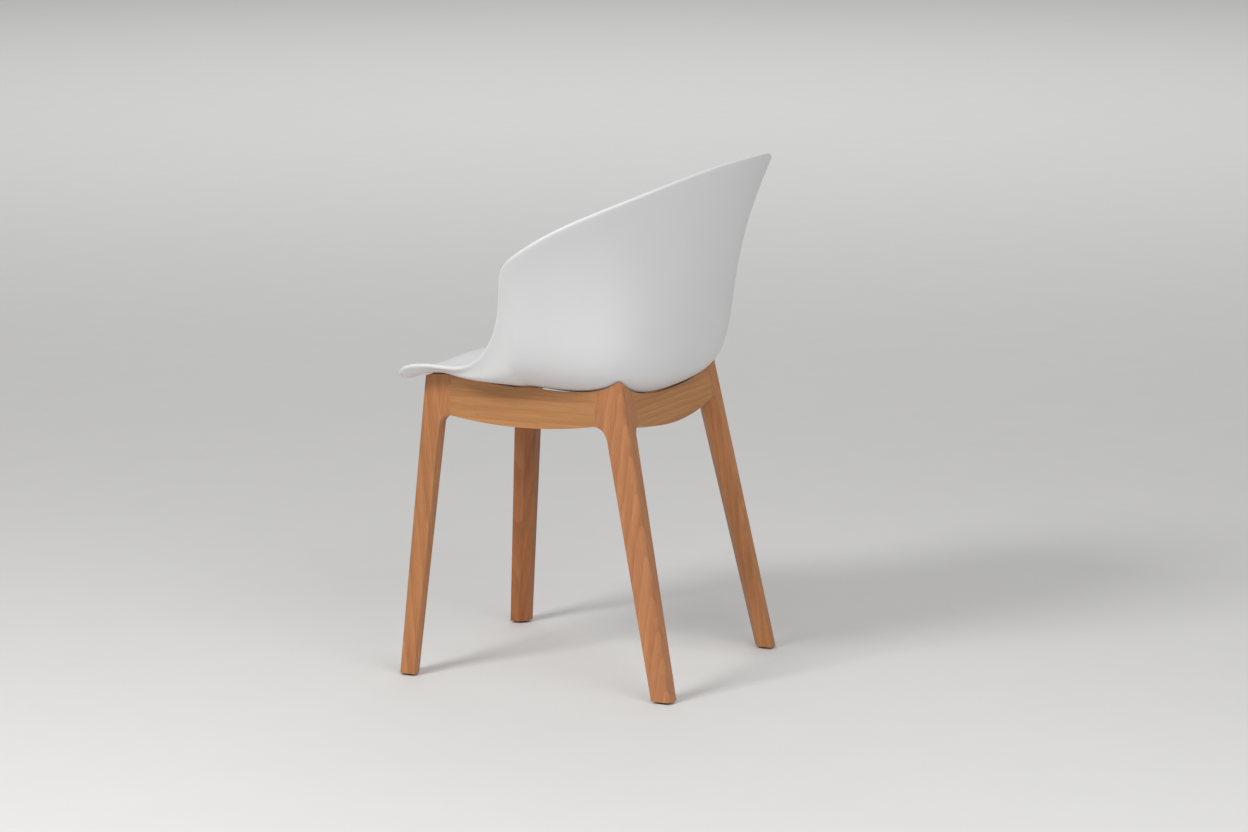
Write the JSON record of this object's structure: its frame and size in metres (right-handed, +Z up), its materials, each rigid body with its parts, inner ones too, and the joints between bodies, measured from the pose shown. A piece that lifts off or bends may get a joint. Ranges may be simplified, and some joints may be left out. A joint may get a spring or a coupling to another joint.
{
  "type": "dining chair",
  "caption": "Dining chair with a moulded bucket seat shell on a wooden frame with splayed, tapered legs.",
  "frame": {"origin": "on the floor, at the bottom centre of the chair's bounding box", "axes": "+Z up, -Y towards the chair's front, +X towards the sitter's left"},
  "size_m": [0.5904, 0.4985, 0.7853],
  "materials": {
    "shell": "fine satin texture",
    "frame_wood": "clear matt lacquer, straight grain",
    "dowel_wood": "plain, fluted stock",
    "block_wood": "plain, sawn",
    "fixing_steel": "zinc plated",
    "insert_brass": "plain",
    "buffer_rubber": "matt",
    "glide_plastic": "moulded"
  },
  "bodies": {
    "root": {"seat_shell": "shell", "leg_front_left": "frame_wood", "leg_front_right": "frame_wood", "leg_rear_left": "frame_wood", "leg_rear_right": "frame_wood", "side_rail_left": "frame_wood", "side_rail_right": "frame_wood", "front_rail": "frame_wood", "rear_rail": "frame_wood", "corner_block_front_left": "block_wood", "corner_block_front_right": "block_wood", "corner_block_rear_left": "block_wood", "corner_block_rear_right": "block_wood", "side_rail_dowels": "dowel_wood", "front_rail_dowels": "dowel_wood", "rear_rail_dowels": "dowel_wood", "corner_block_screws": "fixing_steel", "shell_bosses": "shell", "shell_inserts": "insert_brass", "shell_buffers": "buffer_rubber", "shell_bolts": "fixing_steel", "shell_washers": "fixing_steel", "glide_front_left": "glide_plastic", "glide_front_right": "glide_plastic", "glide_rear_left": "glide_plastic", "glide_rear_right": "glide_plastic", "glide_screws": "fixing_steel"}
  },
  "joints": []
}
